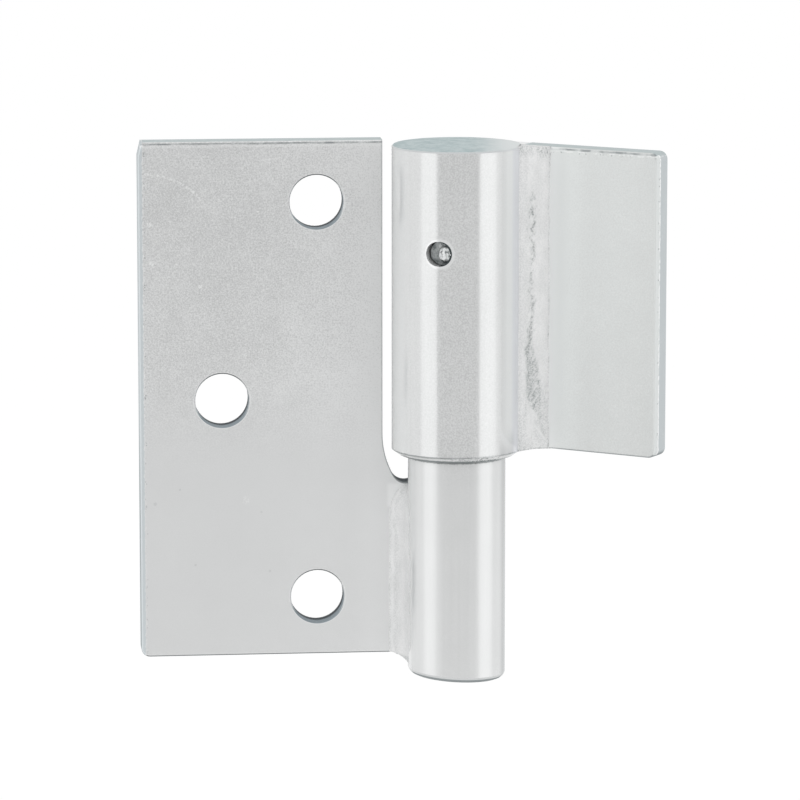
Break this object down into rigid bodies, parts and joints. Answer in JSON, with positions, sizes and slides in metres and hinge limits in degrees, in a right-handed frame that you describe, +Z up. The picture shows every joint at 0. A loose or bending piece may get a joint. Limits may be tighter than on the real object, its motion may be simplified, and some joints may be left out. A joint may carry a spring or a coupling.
{
  "type": "weld-on hinge",
  "caption": "Weld-on pin hinge: a bolted plate welded to an upright round pin, and a closed sleeve with a plain weld-on tab that turns on the pin",
  "frame": {"origin": "centre of the middle bolt hole on the plate's back face, the face that is bolted down", "axes": "+Z up along the hinge pin, +Y out of the plate's back face into the post, +X from the plate towards the pin"},
  "size_m": [0.1007, 0.0286, 0.1055],
  "materials": {
    "plated_flat_bar": "satin zinc plating over rolled flat bar",
    "plated_round_bar": "satin zinc plating over turned bar",
    "plated_weld_metal": "satin zinc plating over rippled weld beads",
    "polished_ball_steel": "polished",
    "peened_pin_steel": "satin zinc plating over a snapped and peened end"
  },
  "bodies": {
    "post_leaf": {"mounting_plate": "plated_flat_bar", "hinge_pin": "plated_round_bar", "plate_weld_front": "plated_weld_metal", "plate_weld_back": "plated_weld_metal", "thrust_ball": "polished_ball_steel"},
    "gate_leaf": {"sleeve": "plated_round_bar", "weld_tab": "plated_flat_bar", "tab_weld_front": "plated_weld_metal", "tab_weld_back": "plated_weld_metal", "retaining_pin": "peened_pin_steel"}
  },
  "joints": [
    {"name": "leaf_swing", "type": "hinge", "parent": "post_leaf", "child": "gate_leaf", "pos_m": [0.04545, -0.00953, 0.0199], "axis": [0, 0, 1], "range_deg": [-162, 131]}
  ]
}
